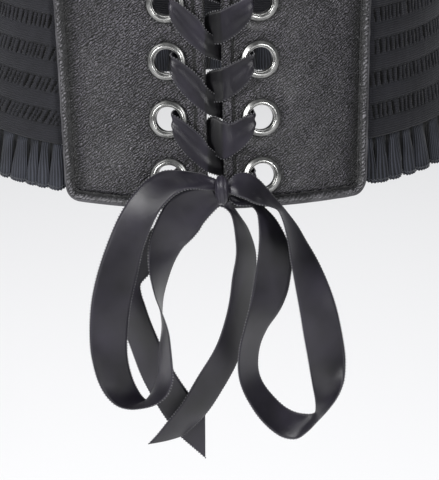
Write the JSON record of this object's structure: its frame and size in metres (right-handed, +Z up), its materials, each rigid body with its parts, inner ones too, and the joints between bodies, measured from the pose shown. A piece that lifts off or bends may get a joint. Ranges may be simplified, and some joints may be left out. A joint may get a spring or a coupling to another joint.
{
  "type": "corset belt",
  "caption": "Wide elastic corset belt with two laced leather front panels, grommets, frilled hems and a ribbon bow hanging from the bottom of the lacing.",
  "frame": {"origin": "centre of the waist hollow at the belt's narrowest level, where the body holds it", "axes": "+Z up along the wearer's body, -Y out of the laced front, +X to the viewer's right of the front"},
  "size_m": [0.272, 0.2505, 0.3056],
  "materials": {
    "leather": "black pebbled faux leather with a soft sheen",
    "binding": "folded faux leather edge binding",
    "eyelet_metal": "antique pewter",
    "elastic": "ribbed elastic with shirred rows",
    "frill_cloth": "fine gathered cloth with an overlocked hem",
    "satin_ribbon": "black satin with woven edges"
  },
  "bodies": {
    "root": {"left_leather_panel": "leather", "left_edge_binding": "binding", "right_leather_panel": "leather", "right_edge_binding": "binding", "left_eyelet_1": "eyelet_metal", "left_eyelet_2": "eyelet_metal", "left_eyelet_3": "eyelet_metal", "left_eyelet_4": "eyelet_metal", "left_eyelet_5": "eyelet_metal", "left_eyelet_6": "eyelet_metal", "right_eyelet_1": "eyelet_metal", "right_eyelet_2": "eyelet_metal", "right_eyelet_3": "eyelet_metal", "right_eyelet_4": "eyelet_metal", "right_eyelet_5": "eyelet_metal", "right_eyelet_6": "eyelet_metal", "elastic_wrap": "elastic", "bottom_frill": "frill_cloth", "top_frill": "frill_cloth", "lacing_ribbon": "satin_ribbon", "bow_loop_left": "satin_ribbon", "bow_loop_right": "satin_ribbon", "bow_tail_left": "satin_ribbon", "bow_tail_right": "satin_ribbon", "bow_knot": "satin_ribbon"}
  },
  "joints": []
}
